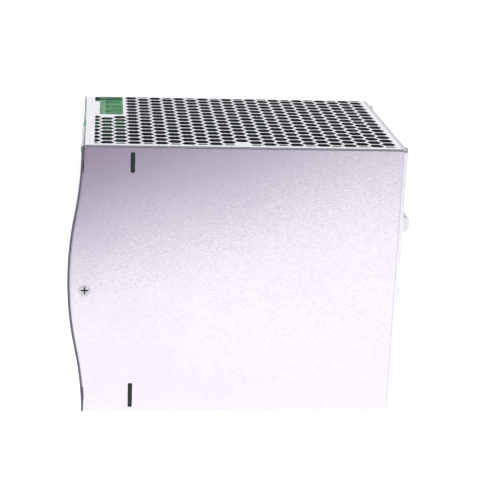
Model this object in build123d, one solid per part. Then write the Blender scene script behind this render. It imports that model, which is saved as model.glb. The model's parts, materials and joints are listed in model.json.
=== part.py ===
from build123d import *
import math
import os

# A 960 W class power supply for a 35 mm top-hat rail, as it stands on its bottom cover.
# Right side is +X, the front panel looks along -Y, up is +Z, and millimetres are used throughout.
# The origin is the centre of the bottom face of the case.

# ---------------------------------------------------------------- driving dimensions
WIDTH = 110.0
HEIGHT = 125.2
DEPTH = 150.0
SIDE_SHEET = 1.0
COVER_SHEET = 0.8
FRONT_SHEET = 1.0
REAR_SHEET = 1.8
BOARD = 1.6

BULGE = 6.2               # how far the middle of the front stands ahead of its top and bottom
FRONT_GAP = 0.4           # shadow gap between the front panel and the side panels
FIT = 0.1                 # clearance between case sheets that only touch
FLANGE = 6.0              # height of the covers' folded edges

HEX_PITCH = 6.92          # distance between neighbouring ventilation holes
HEX_FLATS = 5.7           # width of a hole across its flats
HEX_ROWS = 15
HEX_COLUMNS = 23

POLE_PITCH = 10.16        # power terminals
OUTPUT_POLES = 4
INPUT_POLES = 3
POWER_TERMINAL_X = -31.4

PLUG_POLES = 4
PLUG_PITCH = 5.08
PLUG_X = 2.2
LEVER_TRAVEL = 1.0

RAIL_CENTRE = HEIGHT / 2
RAIL_HEIGHT = 35.0        # EN 60715 top-hat rail
BRACKET_WIDTH = 40.0
BRACKET_BASE = 5.0        # rear plate to the rail's seat
HOOK_REACH = 10.7         # rear plate to the tip of the hook
SLIDER_TRAVEL = 5.0

# ---------------------------------------------------------------- places worked out from them
SIDE_IN = WIDTH / 2 - SIDE_SHEET
SIDE_FRONT = -DEPTH / 2 + FRONT_SHEET + FRONT_GAP + BULGE
REAR_IN = DEPTH / 2 - REAR_SHEET
REAR_OUT = DEPTH / 2
MID_PLANE = Plane.XY.offset(HEIGHT / 2)

FLANGE_OUT = SIDE_IN - FIT
FLANGE_IN = FLANGE_OUT - COVER_SHEET
COVER_UNDER = HEIGHT - COVER_SHEET

TERMINAL_BOARD_Y = SIDE_FRONT + 20.85                 # middle of the two upright terminal boards
TERMINAL_BOARD_FRONT = TERMINAL_BOARD_Y - BOARD / 2
TERMINAL_BOARD_REAR = TERMINAL_BOARD_Y + BOARD / 2
SLOT_WIDTH = BOARD + 0.35
TOP_SLOT = (113.5, 122.7)
BOTTOM_SLOT = (2.5, 14.3)

MAIN_BOARD_BACK = -47.0                               # solder side, towards the left panel
MAIN_BOARD_FACE = MAIN_BOARD_BACK + BOARD             # component side
BOARD_SCREWS = [(y, z) for y in (-38.0, 0.0, 64.0) for z in (10.0, HEIGHT - 10.0)]

SIDE_SCREW = (SIDE_FRONT + 0.1, 59.0)
SIDE_SCREW_HEAD = 2.6
COVER_SCREW_X = (-45.0, 45.0)
COVER_SCREW_Z = HEIGHT - 3.6
M3 = 1.5                  # radii of the screw shanks
M4 = 2.0


# ---------------------------------------------------------------- small helpers
def block(x0, x1, y0, y1, z0, z1):
    """A rectangular solid between two corners."""
    middle = Pos((x0 + x1) / 2, (y0 + y1) / 2, (z0 + z1) / 2)
    return middle * Box(x1 - x0, y1 - y0, z1 - z0)


def rod(start, end, radius, end_radius=None):
    """A round bar from one point to another, or a taper where it has an end radius."""
    axis = Vector(end) - Vector(start)
    place = Plane(origin=start, z_dir=axis).location
    on_start = (Align.CENTER, Align.CENTER, Align.MIN)
    if end_radius is None:
        return place * Cylinder(radius, axis.length, align=on_start)
    return place * Cone(radius, end_radius, axis.length, align=on_start)


def hex_bar(start, end, flats):
    """A hexagonal bar from one point to another, measured across its flats."""
    axis = Vector(end) - Vector(start)
    section = RegularPolygon(flats / 2, 6, major_radius=False)
    return extrude(Plane(origin=start, z_dir=axis) * section, axis.length)


def cross_recess(at, direction, size, depth):
    """The tool for a cross recess: two crossed blades that sink into a screw head."""
    plane = Plane(origin=at, z_dir=direction)
    sunk = (Align.CENTER, Align.CENTER, Align.MAX)
    blade = Box(size, size * 0.2, depth, align=sunk)
    return plane.location * (blade + Rot(0, 0, 90) * blade)


def mirrored_x(shape):
    return mirror(shape, about=Plane.YZ)


def upside_down(shape):
    """The same piece at the other end of the case, reflected about its middle height."""
    return mirror(shape, about=MID_PLANE)


def edges_at(shape, axis, *tests):
    """The edges along one axis whose middle passes every test."""
    found = shape.edges().filter_by(axis)
    return [edge for edge in found if all(test(edge.center()) for test in tests)]


def save(name, *solids):
    """Write one node, as one solid or as a group of separate ones."""
    shape = solids[0] if len(solids) == 1 else Compound(children=list(solids))
    shape.label = name
    export_step(shape, os.path.join("parts", name + ".step"))
    print(f"{name:24s} {len(shape.solids())} solid(s)  {shape.volume:10.1f} mm3")


# ---------------------------------------------------------------- the bulged front outline
def bulge_arc(centre_y, centre_z, radius, first, last):
    """One arc of the outline, in the plane X = 0, between two angles."""
    angles = (first, (first + last) / 2, last)
    points = [(0, centre_y + radius * math.cos(a), centre_z + radius * math.sin(a)) for a in angles]
    return Edge.make_three_point_arc(*points)


def bulged_slab(ahead, back, x0, x1, z0, z1):
    """A slab whose front follows the bulge, ahead mm in front of the side panels' front edge."""
    half = HEIGHT / 2
    radius = (half**2 + BULGE**2) / (4 * BULGE)
    turn = math.asin(half / 2 / radius)
    hollow_y = SIDE_FRONT - radius
    crown_y = SIDE_FRONT - BULGE + radius
    front = SIDE_FRONT - ahead
    edges = [
        bulge_arc(hollow_y, 0, radius - ahead, 0, turn),
        bulge_arc(crown_y, half, radius + ahead, math.pi + turn, math.pi - turn),
        bulge_arc(hollow_y, HEIGHT, radius - ahead, -turn, 0),
        Edge.make_line((0, front, HEIGHT), (0, back, HEIGHT)),
        Edge.make_line((0, back, HEIGHT), (0, back, 0)),
        Edge.make_line((0, back, 0), (0, front, 0)),
    ]
    full = extrude(Face(Wire(edges)), x1 - x0, dir=(1, 0, 0))
    return Pos(x0, 0, 0) * full & block(x0, x1, -DEPTH, DEPTH, z0, z1)


# ---------------------------------------------------------------- case sheets
def side_panel():
    """The right side: a flat sheet with two slots for board tabs and one countersunk hole."""
    corner_radius = 1.75
    edge_gap = 0.5
    panel = bulged_slab(0, REAR_IN - FIT, SIDE_IN, WIDTH / 2, edge_gap, HEIGHT - edge_gap)
    corners = edges_at(panel, Axis.X, lambda c: c.Y < 0, lambda c: abs(c.Z - HEIGHT / 2) > 60)
    panel = fillet(corners, corner_radius)
    for low, high in (TOP_SLOT, BOTTOM_SLOT):
        slot = block(SIDE_IN, WIDTH / 2, TERMINAL_BOARD_Y - SLOT_WIDTH / 2,
                     TERMINAL_BOARD_Y + SLOT_WIDTH / 2, low, high)
        panel -= fillet(slot.edges().filter_by(Axis.X), 0.6)
    y, z = SIDE_SCREW
    return panel - rod((WIDTH / 2, y, z), (SIDE_IN, y, z), SIDE_SCREW_HEAD + 0.05, M3 + 0.1)


def clip(points, axis, limit, keep_above):
    """The part of a convex outline that lies above or below a limit on one axis."""
    kept = []
    for here, there in zip(points, points[1:] + points[:1]):
        if (here[axis] > limit) == keep_above:
            kept.append(here)
        if (here[axis] > limit) != (there[axis] > limit):
            share = (limit - here[axis]) / (there[axis] - here[axis])
            kept.append(tuple(a + share * (b - a) for a, b in zip(here, there)))
    return kept


def vent_holes(opening):
    """Outlines of the hexagonal vents, cut straight at the borders and kept off the opening."""
    border_right, border_left = 49.8, -52.2
    border_front = SIDE_FRONT + 4.1
    border_opening = opening[3] + 1.4
    corner = HEX_FLATS / math.sqrt(3)
    first_column = SIDE_FRONT + 3.7
    outlines = []
    for column in range(HEX_COLUMNS):
        y = first_column + column * HEX_PITCH * math.sqrt(3) / 2
        right_row = 47.5 if column % 2 else 47.5 + HEX_PITCH / 2
        for row in range(HEX_ROWS + 1):
            x = right_row - row * HEX_PITCH
            if (column, row) == (11, 0):      # one blank, where the sheet is held while it is punched
                continue
            turns = [math.radians(30 + 60 * k) for k in range(6)]
            points = [(x + corner * math.cos(t), y + corner * math.sin(t)) for t in turns]
            points = clip(points, 0, border_right, False)
            points = clip(points, 0, border_left, True)
            beside = x - HEX_FLATS / 2 < opening[1] + 0.8
            points = clip(points, 1, border_opening if beside else border_front, True)
            if len(points) > 2 and wide_enough(points):
                outlines.append(points)
    return outlines


def wide_enough(points):
    """Leave out slivers that a punch could not make."""
    smallest = 1.0
    return all(max(p[k] for p in points) - min(p[k] for p in points) > smallest for k in (0, 1))


def cover(opening):
    """The top cover: a perforated sheet with two folded sides and a folded rear edge."""
    bend = 1.2
    front, rear = SIDE_FRONT, REAR_IN - FIT
    low = HEIGHT - FLANGE
    tray = block(-FLANGE_OUT, FLANGE_OUT, front, rear, low, HEIGHT)
    tray = fillet(edges_at(tray, Axis.Y, lambda c: c.Z > COVER_UNDER), bend)
    tray -= block(-FLANGE_IN, FLANGE_IN, front, rear - COVER_SHEET, low, COVER_UNDER)
    for side in (-1, 1):
        x0, x1 = sorted((side * FLANGE_IN, side * FLANGE_OUT))
        tray -= block(x0, x1, TERMINAL_BOARD_Y - 1.6, TERMINAL_BOARD_Y + 1.6, low, TOP_SLOT[1] + 0.4)
    for x in COVER_SCREW_X:
        tray -= rod((x, REAR_IN - 2, COVER_SCREW_Z), (x, REAR_IN, COVER_SCREW_Z), M3 + 0.1)

    # The flat of the sheet is made again as one face with all its holes, which is quick and exact.
    x0, x1 = -FLANGE_OUT + 1.3, FLANGE_OUT - 1.3
    y0, y1 = front + 0.5, rear - 1.5
    outline = Wire.make_polygon([(x0, y0), (x1, y0), (x1, y1), (x0, y1)])
    holes = [Wire.make_polygon(points) for points in vent_holes(opening)]
    left, right, near, far = opening
    step_right, step_front = left + 11.5, near - 2.4
    holes.append(Wire.make_polygon([
        (left, far), (right, far), (right, near), (step_right, near),
        (step_right, step_front), (left + 1.0, step_front), (left + 1.0, near), (left, near),
    ]))
    flat = extrude(Pos(0, 0, COVER_UNDER) * Face(outline, holes), COVER_SHEET, dir=(0, 0, 1))
    return tray - block(x0, x1, y0, y1, COVER_UNDER, HEIGHT) + flat


def terminal_opening(poles):
    """Left, right, front and rear of the opening over a power terminal."""
    half = poles * POLE_PITCH / 2 + 0.5
    return (POWER_TERMINAL_X - half, POWER_TERMINAL_X + half, SIDE_FRONT + 6.2, SIDE_FRONT + 17.4)


def front_panel():
    """The bulged front sheet, with flanges inside the side panels and notches for the terminals."""
    half = WIDTH / 2 - 0.2
    low, high = 0.2, HEIGHT - 0.2
    flange_low, flange_high, flange_back = 12.0, 113.0, SIDE_FRONT + 6.0
    outer = FRONT_GAP + FRONT_SHEET
    panel = bulged_slab(outer, flange_back, -half, half, low, high)
    panel -= bulged_slab(FRONT_GAP, flange_back, -half, half, low, high)
    screw_y, screw_z = SIDE_SCREW
    for side in (-1, 1):
        x0, x1 = sorted((side * (FLANGE_OUT - 0.9), side * FLANGE_OUT))
        panel += bulged_slab(FRONT_GAP, flange_back, x0, x1, flange_low, flange_high)
        panel -= rod((x0, screw_y, screw_z), (x1, screw_y, screw_z), M3)
    ahead = -DEPTH / 2 - 1
    panel -= block(POWER_TERMINAL_X - 18.3, PLUG_X - 13.4, ahead, flange_back,
                   SCREW_Z - 4.6, HEIGHT)
    panel -= block(PLUG_X - 13.5, PLUG_X + 13.5, ahead, flange_back, HEADER_LOW - 0.7, HEIGHT)
    panel -= block(POWER_TERMINAL_X - 13.4, POWER_TERMINAL_X + 13.4, ahead, flange_back,
                   0, HEIGHT - SCREW_Z + 4.6)
    for x, radius in ((LAMP_X, LAMP_RADIUS + 0.1), (TRIMMER_X, TRIMMER_RADIUS + 0.4)):
        panel -= rod((x, ahead, TRIMMER_Z), (x, flange_back, TRIMMER_Z), radius)
    return panel


def rear_plate():
    """The thick rear plate that carries the rail bracket, with two flanges inside the side panels."""
    half = WIDTH / 2 - 0.1
    plate = block(-half, half, REAR_IN, REAR_OUT, 0.3, HEIGHT - 0.3)
    plate = fillet(edges_at(plate, Axis.Y, lambda c: abs(c.X) > half - 1), 1.2)
    for side in (-1, 1):
        x0, x1 = sorted((side * (FLANGE_OUT - 0.9), side * FLANGE_OUT))
        plate += block(x0, x1, REAR_IN - 11, REAR_IN, 16.0, HEIGHT - 16.0)
        for z in BRACKET_SCREW_Z:
            x = side * BRACKET_SCREW_X
            plate -= rod((x, REAR_IN, z), (x, REAR_OUT, z), M4 + 0.1)
    for x in COVER_SCREW_X:
        for z in (COVER_SCREW_Z, HEIGHT - COVER_SCREW_Z):
            plate -= rod((x, REAR_IN, z), (x, REAR_OUT, z), M3 + 0.1)
    return plate


def side_screws():
    """One countersunk screw through each side panel into the front panel's flange."""
    y, z = SIDE_SCREW
    head = rod((WIDTH / 2, y, z), (SIDE_IN, y, z), SIDE_SCREW_HEAD, M3)
    screw = head + rod((SIDE_IN, y, z), (SIDE_IN - 5, y, z), M3)
    screw -= cross_recess((WIDTH / 2, y, z), (1, 0, 0), 3.4, 0.9)
    return [screw, mirrored_x(screw)]


def rear_screws():
    """Four pan head screws that hold the rear plate on the covers."""
    screws = []
    for x in COVER_SCREW_X:
        for z in (COVER_SCREW_Z, HEIGHT - COVER_SCREW_Z):
            head = rod((x, REAR_OUT, z), (x, REAR_OUT + 1.9, z), 2.75)
            head = fillet(head.edges().sort_by(Axis.Y)[-1], 0.8)
            screw = head + rod((x, REAR_OUT, z), (x, REAR_OUT - 5, z), M3)
            screws.append(screw - cross_recess((x, REAR_OUT + 1.9, z), (0, 1, 0), 2.8, 1.2))
    return screws


# ---------------------------------------------------------------- rail bracket and its latch
BRACKET_LOW, BRACKET_HIGH = 30.0, RAIL_CENTRE + 21.4
BRACKET_SCREW_X = 15.5
BRACKET_SCREW_Z = (36.5, 70.0)
SEAT_Y = REAR_OUT + BRACKET_BASE
HOOK_TIP = REAR_OUT + HOOK_REACH
LIP_SLOT = 2.2                                # room for the rail's lip behind the hook and the catch
CHANNEL_DEPTH = 3.8
CHANNEL_HALF = 11.3
SLIDER_HALF = 11.0
SLIDER_LOW = 8.0
CATCH_LOW, CATCH_HIGH = RAIL_CENTRE - 21.1, RAIL_CENTRE - 14.6
STOP_Z = (51.0, 53.0)
SPRING_TOP = 66.0
SPRING_RADIUS = 1.35
SPRING_WIRE = 0.25


def din_bracket():
    """The fixed half of the rail foot: the seat, the upper hook and the slider's channel."""
    half = BRACKET_WIDTH / 2
    body = block(-half, half, REAR_OUT, SEAT_Y, BRACKET_LOW, BRACKET_HIGH)
    arm_low = RAIL_CENTRE + RAIL_HEIGHT / 2 + 0.3
    body += block(-half, half, SEAT_Y, HOOK_TIP, arm_low, BRACKET_HIGH)
    hook = block(-half, half, SEAT_Y + LIP_SLOT, HOOK_TIP, arm_low - 3.4, arm_low)
    hook = chamfer(edges_at(hook, Axis.X, lambda c: c.Z < arm_low - 3, lambda c: c.Y > HOOK_TIP - 1), 1.6)
    body += hook
    body = fillet(edges_at(body, Axis.X, lambda c: c.Z > BRACKET_HIGH - 0.1, lambda c: c.Y > SEAT_Y), 1.2)
    body -= block(-CHANNEL_HALF, CHANNEL_HALF, REAR_OUT, REAR_OUT + CHANNEL_DEPTH, BRACKET_LOW, 68.0)
    body -= block(-CHANNEL_HALF, CHANNEL_HALF, REAR_OUT, SEAT_Y,
                  CATCH_LOW - SLIDER_TRAVEL - 0.3, CATCH_HIGH + 0.4)
    stop = block(-2.0, 2.0, REAR_OUT + 0.4, REAR_OUT + CHANNEL_DEPTH + 0.2, *STOP_Z)
    body += stop
    for x in (-BRACKET_SCREW_X, BRACKET_SCREW_X):
        for z in BRACKET_SCREW_Z:
            body -= rod((x, SEAT_Y, z), (x, SEAT_Y - 2.2, z), 4.2, M4 + 0.1)
            body -= rod((x, SEAT_Y, z), (x, REAR_OUT, z), M4 + 0.1)
    return body


def bracket_screws():
    screws = []
    for x in (-BRACKET_SCREW_X, BRACKET_SCREW_X):
        for z in BRACKET_SCREW_Z:
            head = rod((x, SEAT_Y - 0.05, z), (x, SEAT_Y - 2.2, z), 4.0, M4)
            screw = head + rod((x, SEAT_Y - 2.2, z), (x, REAR_IN - 1, z), M4)
            screws.append(screw - cross_recess((x, SEAT_Y - 0.05, z), (0, 1, 0), 4.4, 1.3))
    return screws


def din_slider():
    """The sprung latch: a flat slide with a catch for the rail's lower lip and a pull tab."""
    back, front = REAR_OUT + CHANNEL_DEPTH - 0.2, REAR_OUT + 0.2
    plate = block(-SLIDER_HALF, SLIDER_HALF, front, back, 22.0, 67.5)
    plate += block(-7.0, 7.0, front, back, SLIDER_LOW, 22.0)
    plate -= block(-2.3, 2.3, front, back, STOP_Z[0] - 0.1, SPRING_TOP)
    plate -= block(-3.6, 3.6, front, back, SLIDER_LOW + 3.2, SLIDER_LOW + 5.4)
    tip = HOOK_TIP - 0.5
    catch = block(-SLIDER_HALF, SLIDER_HALF, back - 0.5, tip, CATCH_LOW, CATCH_LOW + 3.2)
    nose = block(-SLIDER_HALF, SLIDER_HALF, SEAT_Y + LIP_SLOT, tip, CATCH_LOW + 3.2, CATCH_HIGH)
    nose = chamfer(edges_at(nose, Axis.X, lambda c: c.Z > CATCH_HIGH - 0.1, lambda c: c.Y > tip - 0.1), 2.0)
    return plate + catch + nose


def din_spring():
    """The compression spring between the bracket's stop and the top of the slider's window."""
    low, high = STOP_Z[1] + SPRING_WIRE, SPRING_TOP - SPRING_WIRE
    turns = 6
    path = Helix((high - low) / turns, high - low, SPRING_RADIUS)
    section = Plane(origin=path @ 0, z_dir=path % 0) * Circle(SPRING_WIRE)
    middle_y = REAR_OUT + CHANNEL_DEPTH / 2
    return Pos(0, middle_y, low) * sweep(section, path=path, is_frenet=True)


# ---------------------------------------------------------------- power terminals
BLOCK_FRONT = SIDE_FRONT + 0.2
BLOCK_LOW, BLOCK_HIGH = 106.5, HEIGHT - 1.4
CELL_HALF = 4.2
CELL = (SIDE_FRONT + 4.0, SIDE_FRONT + 18.2, 108.2, 117.5)     # front, rear, floor, ceiling
SCREW_Z = 113.2
HEAD_RADIUS = 3.1
HEAD_BACK = SIDE_FRONT + 3.0
SCREW_TIP = SIDE_FRONT + 8.8
BAR_Y = (SIDE_FRONT + 9.4, SIDE_FRONT + 10.4)
BAR_HALF = 2.6
CLAMP_Y = (SIDE_FRONT + 6.2, SIDE_FRONT + 16.8)
CLAMP_Z = (SCREW_Z - 3.0, SCREW_Z + 3.0)
CLAMP_WALL = 1.6
CLAMP_HALF = 3.9
WIRE_Y = (BAR_Y[1] + CLAMP_Y[1] - CLAMP_WALL) / 2


def pole_places(poles):
    """The X of each pole's middle, from left to right."""
    return [POWER_TERMINAL_X + (k - (poles - 1) / 2) * POLE_PITCH for k in range(poles)]


def terminal_block(poles):
    """A moulded block with one cell for each pole: wires enter from above, screws face the front."""
    half = poles * POLE_PITCH / 2 + 0.4
    left, right = POWER_TERMINAL_X - half, POWER_TERMINAL_X + half
    body = block(left, right, BLOCK_FRONT, TERMINAL_BOARD_FRONT, BLOCK_LOW, BLOCK_HIGH)
    body = chamfer(body.edges().filter_by(Axis.X).sort_by(Axis.Y)[:2], 0.6)
    front, rear, floor, ceiling = CELL
    for x in pole_places(poles):
        body -= block(x - CELL_HALF, x + CELL_HALF, front, rear, floor, ceiling)
        mouth = Pos(x, WIRE_Y, ceiling) * Rectangle(6.2, 5.4)
        body -= extrude(mouth, BLOCK_HIGH - ceiling, taper=-10)
        body -= rod((x, BLOCK_FRONT, SCREW_Z), (x, HEAD_BACK, SCREW_Z), HEAD_RADIUS + 0.1)
        body -= rod((x, HEAD_BACK, SCREW_Z), (x, front, SCREW_Z), M4 + 0.1)
        body -= block(x - BAR_HALF, x + BAR_HALF, rear, TERMINAL_BOARD_FRONT, floor, floor + 1.0)
    return body


def contact_bar(x):
    """The fixed copper bar of one pole, bent back through the block and the board."""
    floor = CELL[2]
    bar = block(x - BAR_HALF, x + BAR_HALF, *BAR_Y, floor, CELL[3] - 0.3)
    return bar + block(x - BAR_HALF, x + BAR_HALF, BAR_Y[0], TERMINAL_BOARD_REAR + 1.2, floor, floor + 1.0)


def terminal_screw(x):
    """An M4 screw with a combined slot and cross in its cheese head."""
    head_front = BLOCK_FRONT + 0.4
    head = rod((x, head_front, SCREW_Z), (x, HEAD_BACK, SCREW_Z), HEAD_RADIUS)
    head = chamfer(head.edges().sort_by(Axis.Y)[0], 0.3)
    screw = head + rod((x, HEAD_BACK, SCREW_Z), (x, SCREW_TIP, SCREW_Z), M4)
    screw -= block(x - HEAD_RADIUS, x + HEAD_RADIUS, head_front, head_front + 1.1,
                   SCREW_Z - 0.4, SCREW_Z + 0.4)
    return screw - cross_recess((x, head_front, SCREW_Z), (0, -1, 0), 4.0, 1.4)


def rising_clamp(x):
    """The square cage that the screw draws forward, so that it presses the wire on the bar."""
    front, rear = CLAMP_Y
    cage = block(x - CLAMP_HALF, x + CLAMP_HALF, front, rear, *CLAMP_Z)
    cage = fillet(cage.edges().filter_by(Axis.Z), 0.6)
    cage -= block(x - CLAMP_HALF + 1.0, x + CLAMP_HALF - 1.0, front + CLAMP_WALL, rear - CLAMP_WALL,
                  *CLAMP_Z)
    return cage - rod((x, front, SCREW_Z), (x, front + CLAMP_WALL, SCREW_Z), M4 + 0.05)


def terminal_board(poles, slot, reach):
    """An upright board behind a terminal, with a tab through the slot of each side panel."""
    board_half = SIDE_IN - 1.0
    tab_half = WIDTH / 2 - 0.15
    low, high = reach
    board = block(-board_half, board_half, TERMINAL_BOARD_FRONT, TERMINAL_BOARD_REAR, low, high)
    board += block(-tab_half, tab_half, TERMINAL_BOARD_FRONT, TERMINAL_BOARD_REAR,
                   slot[0] + 0.5, slot[1] - 0.4)
    floor = CELL[2] if low > HEIGHT / 2 else HEIGHT - CELL[2] - 1.0
    for x in pole_places(poles):
        board -= block(x - BAR_HALF, x + BAR_HALF, TERMINAL_BOARD_FRONT, TERMINAL_BOARD_REAR,
                       floor, floor + 1.0)
    return board


# ---------------------------------------------------------------- signal connector
HEADER_LOW, HEADER_HIGH = 111.6, 123.4
HEADER_HALF = 12.75
HEADER_FRONT = SIDE_FRONT + 0.3
PLUG_LOW, PLUG_HIGH = 113.4, 121.6
PLUG_HALF = 10.9
PLUG_FRONT, PLUG_REAR = SIDE_FRONT - 1.6, SIDE_FRONT + 13.4
PIN_TIP = SIDE_FRONT + 7.4
PIN_HALF = 0.5
PIN_Z = 115.6
LEVER_Z = 119.2
LEVER_HALF_X, LEVER_HALF_Z = 1.7, 1.4
LEVER_REAR = SIDE_FRONT + 4.4


def plug_places():
    """The X of each pole of the signal plug."""
    return [PLUG_X + (k - (PLUG_POLES - 1) / 2) * PLUG_PITCH for k in range(PLUG_POLES)]


def signal_header():
    """The fixed shroud that the plug goes into from the front."""
    body = block(PLUG_X - HEADER_HALF, PLUG_X + HEADER_HALF, HEADER_FRONT, TERMINAL_BOARD_FRONT,
                 HEADER_LOW, HEADER_HIGH)
    body -= block(PLUG_X - PLUG_HALF - 0.3, PLUG_X + PLUG_HALF + 0.3, HEADER_FRONT, PLUG_REAR + 0.5,
                  PLUG_LOW - 0.3, PLUG_HIGH + 0.3)
    for x in plug_places():
        body -= block(x - PIN_HALF, x + PIN_HALF, PLUG_REAR, TERMINAL_BOARD_FRONT,
                      PIN_Z - PIN_HALF, PIN_Z + PIN_HALF)
    return body


def header_pins():
    pins = []
    for x in plug_places():
        pin = block(x - PIN_HALF, x + PIN_HALF, PIN_TIP, TERMINAL_BOARD_REAR + 1.2,
                    PIN_Z - PIN_HALF, PIN_Z + PIN_HALF)
        pins.append(chamfer(pin.faces().sort_by(Axis.Y)[0].edges(), 0.2))
    return pins


def signal_plug():
    """The pluggable half: round wire entries below, release buttons above, test slots between."""
    body = block(PLUG_X - PLUG_HALF, PLUG_X + PLUG_HALF, PLUG_FRONT, PLUG_REAR, PLUG_LOW, PLUG_HIGH)
    body = chamfer(body.faces().sort_by(Axis.Y)[0].edges(), 0.5)
    for x in plug_places():
        body -= rod((x, PLUG_FRONT, PIN_Z), (x, PLUG_FRONT + 1.2, PIN_Z), 1.9, 1.6)
        body -= rod((x, PLUG_FRONT, PIN_Z), (x, PIN_TIP - 1.4, PIN_Z), 1.6)
        body -= block(x - 0.8, x + 0.8, PIN_TIP - 1.0, PLUG_REAR, PIN_Z - 0.8, PIN_Z + 0.8)
        body -= block(x - LEVER_HALF_X - 0.1, x + LEVER_HALF_X + 0.1, PLUG_FRONT,
                      LEVER_REAR + LEVER_TRAVEL + 0.4, LEVER_Z - LEVER_HALF_Z - 0.1,
                      LEVER_Z + LEVER_HALF_Z + 0.1)
    for left, right in zip(plug_places(), plug_places()[1:]):
        middle = (left + right) / 2
        body -= block(middle - 0.5, middle + 0.5, PLUG_FRONT, PLUG_FRONT + 2.5,
                      PIN_Z - 0.5, PIN_Z + 0.5)
    return body


def plug_lever(x):
    """One release button, pressed to open the spring clamp behind it."""
    front = PLUG_FRONT - 0.2
    lever = block(x - LEVER_HALF_X, x + LEVER_HALF_X, front, LEVER_REAR,
                  LEVER_Z - LEVER_HALF_Z, LEVER_Z + LEVER_HALF_Z)
    lever = fillet(lever.faces().sort_by(Axis.Y)[0].edges(), 0.35)
    return lever - block(x - 1.0, x + 1.0, front, front + 0.5, LEVER_Z - 0.3, LEVER_Z + 0.3)


# ---------------------------------------------------------------- lamp and voltage trimmer
TRIMMER_X, TRIMMER_Z, TRIMMER_RADIUS = 40.0, 117.0, 2.9
LAMP_X, LAMP_RADIUS = 28.0, 1.5
TRIMMER_FRONT = SIDE_FRONT - 1.2
TRIMMER_BODY_FRONT = SIDE_FRONT + 9.0


def trimmer_body():
    body = block(TRIMMER_X - 5, TRIMMER_X + 5, TRIMMER_BODY_FRONT, TERMINAL_BOARD_FRONT,
                 TRIMMER_Z - 5.4, TRIMMER_Z + 5.4)
    body = chamfer(body.faces().sort_by(Axis.Y)[0].edges(), 0.6)
    return body - rod((TRIMMER_X, TRIMMER_BODY_FRONT, TRIMMER_Z),
                      (TRIMMER_X, TRIMMER_BODY_FRONT + 7.2, TRIMMER_Z), TRIMMER_RADIUS + 0.05)


def trimmer_shaft():
    """The adjuster that a small screwdriver turns through the front panel."""
    shaft = rod((TRIMMER_X, TRIMMER_FRONT, TRIMMER_Z),
                (TRIMMER_X, TRIMMER_BODY_FRONT + 7.0, TRIMMER_Z), TRIMMER_RADIUS)
    shaft = chamfer(shaft.edges().sort_by(Axis.Y)[0], 0.4)
    return shaft - block(TRIMMER_X - 2.3, TRIMMER_X + 2.3, TRIMMER_FRONT, TRIMMER_FRONT + 1.4,
                         TRIMMER_Z - 0.45, TRIMMER_Z + 0.45)


def light_pipe():
    front = SIDE_FRONT - 2.2
    pipe = rod((LAMP_X, front, TRIMMER_Z), (LAMP_X, TERMINAL_BOARD_FRONT - 1.2, TRIMMER_Z), LAMP_RADIUS)
    return fillet(pipe.edges().sort_by(Axis.Y)[0], 0.7)


def lamp_body():
    return block(LAMP_X - 1.6, LAMP_X + 1.6, TERMINAL_BOARD_FRONT - 1.1, TERMINAL_BOARD_FRONT,
                 TRIMMER_Z - 1.0, TRIMMER_Z + 1.0)


# ---------------------------------------------------------------- main board and what stands on it
MAIN_FRONT, MAIN_REAR, MAIN_LOW, MAIN_HIGH = -44.0, 68.0, 5.0, HEIGHT - 5.0


def main_board():
    board = block(MAIN_BOARD_BACK, MAIN_BOARD_FACE, MAIN_FRONT, MAIN_REAR, MAIN_LOW, MAIN_HIGH)
    for y, z in BOARD_SCREWS:
        board -= rod((MAIN_BOARD_BACK, y, z), (MAIN_BOARD_FACE, y, z), M3 + 0.1)
    return board


def standoffs():
    posts = []
    for y, z in BOARD_SCREWS:
        post = hex_bar((-SIDE_IN, y, z), (MAIN_BOARD_BACK, y, z), 5.5)
        posts.append(post - rod((-SIDE_IN + 2.0, y, z), (MAIN_BOARD_BACK, y, z), M3))
    return posts


def board_screws():
    screws = []
    for y, z in BOARD_SCREWS:
        head = rod((MAIN_BOARD_FACE, y, z), (MAIN_BOARD_FACE + 2.0, y, z), 2.75)
        head = fillet(head.edges().sort_by(Axis.X)[-1], 0.8)
        screw = head + rod((MAIN_BOARD_FACE, y, z), (MAIN_BOARD_BACK - 4.0, y, z), M3)
        screws.append(screw - cross_recess((MAIN_BOARD_FACE + 2.0, y, z), (1, 0, 0), 2.8, 1.2))
    return screws


def insulation_sheet():
    sheet = block(-SIDE_IN + 0.15, -SIDE_IN + 0.55, MAIN_FRONT, REAR_IN - 12.7, 7.0, HEIGHT - 7.0)
    for y, z in BOARD_SCREWS:
        sheet -= rod((-SIDE_IN, y, z), (-SIDE_IN + 1, y, z), 3.6)
    return sheet


def standing_can(y, z, radius, height):
    """An electrolytic capacitor on the main board, with a rolled groove near its base."""
    can = rod((MAIN_BOARD_FACE, y, z), (MAIN_BOARD_FACE + height, y, z), radius)
    can = fillet(can.edges().sort_by(Axis.X)[-1], 0.9)
    ring = rod((MAIN_BOARD_FACE + 3, y, z), (MAIN_BOARD_FACE + 4, y, z), radius + 1)
    ring -= rod((MAIN_BOARD_FACE + 3, y, z), (MAIN_BOARD_FACE + 4, y, z), radius - 0.6)
    return can - ring


def bulk_capacitors():
    return [standing_can(57.5, HEIGHT / 2 + (k - 1.5) * 25.5, 12.0, 50.0) for k in range(4)]


def output_capacitors():
    return [standing_can(-34.0, z, 7.8, 30.0) for z in (72.0, 88.5, 105.0)]


TRANSFORMER = (4.6, 35.0, 62.0, 110.0)       # front, rear, low, high
PFC_CHOKE = (4.6, 35.0, 17.0, 57.0)
CORE_TOP, COIL_TOP = MAIN_BOARD_FACE + 46.0, MAIN_BOARD_FACE + 40.0


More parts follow.
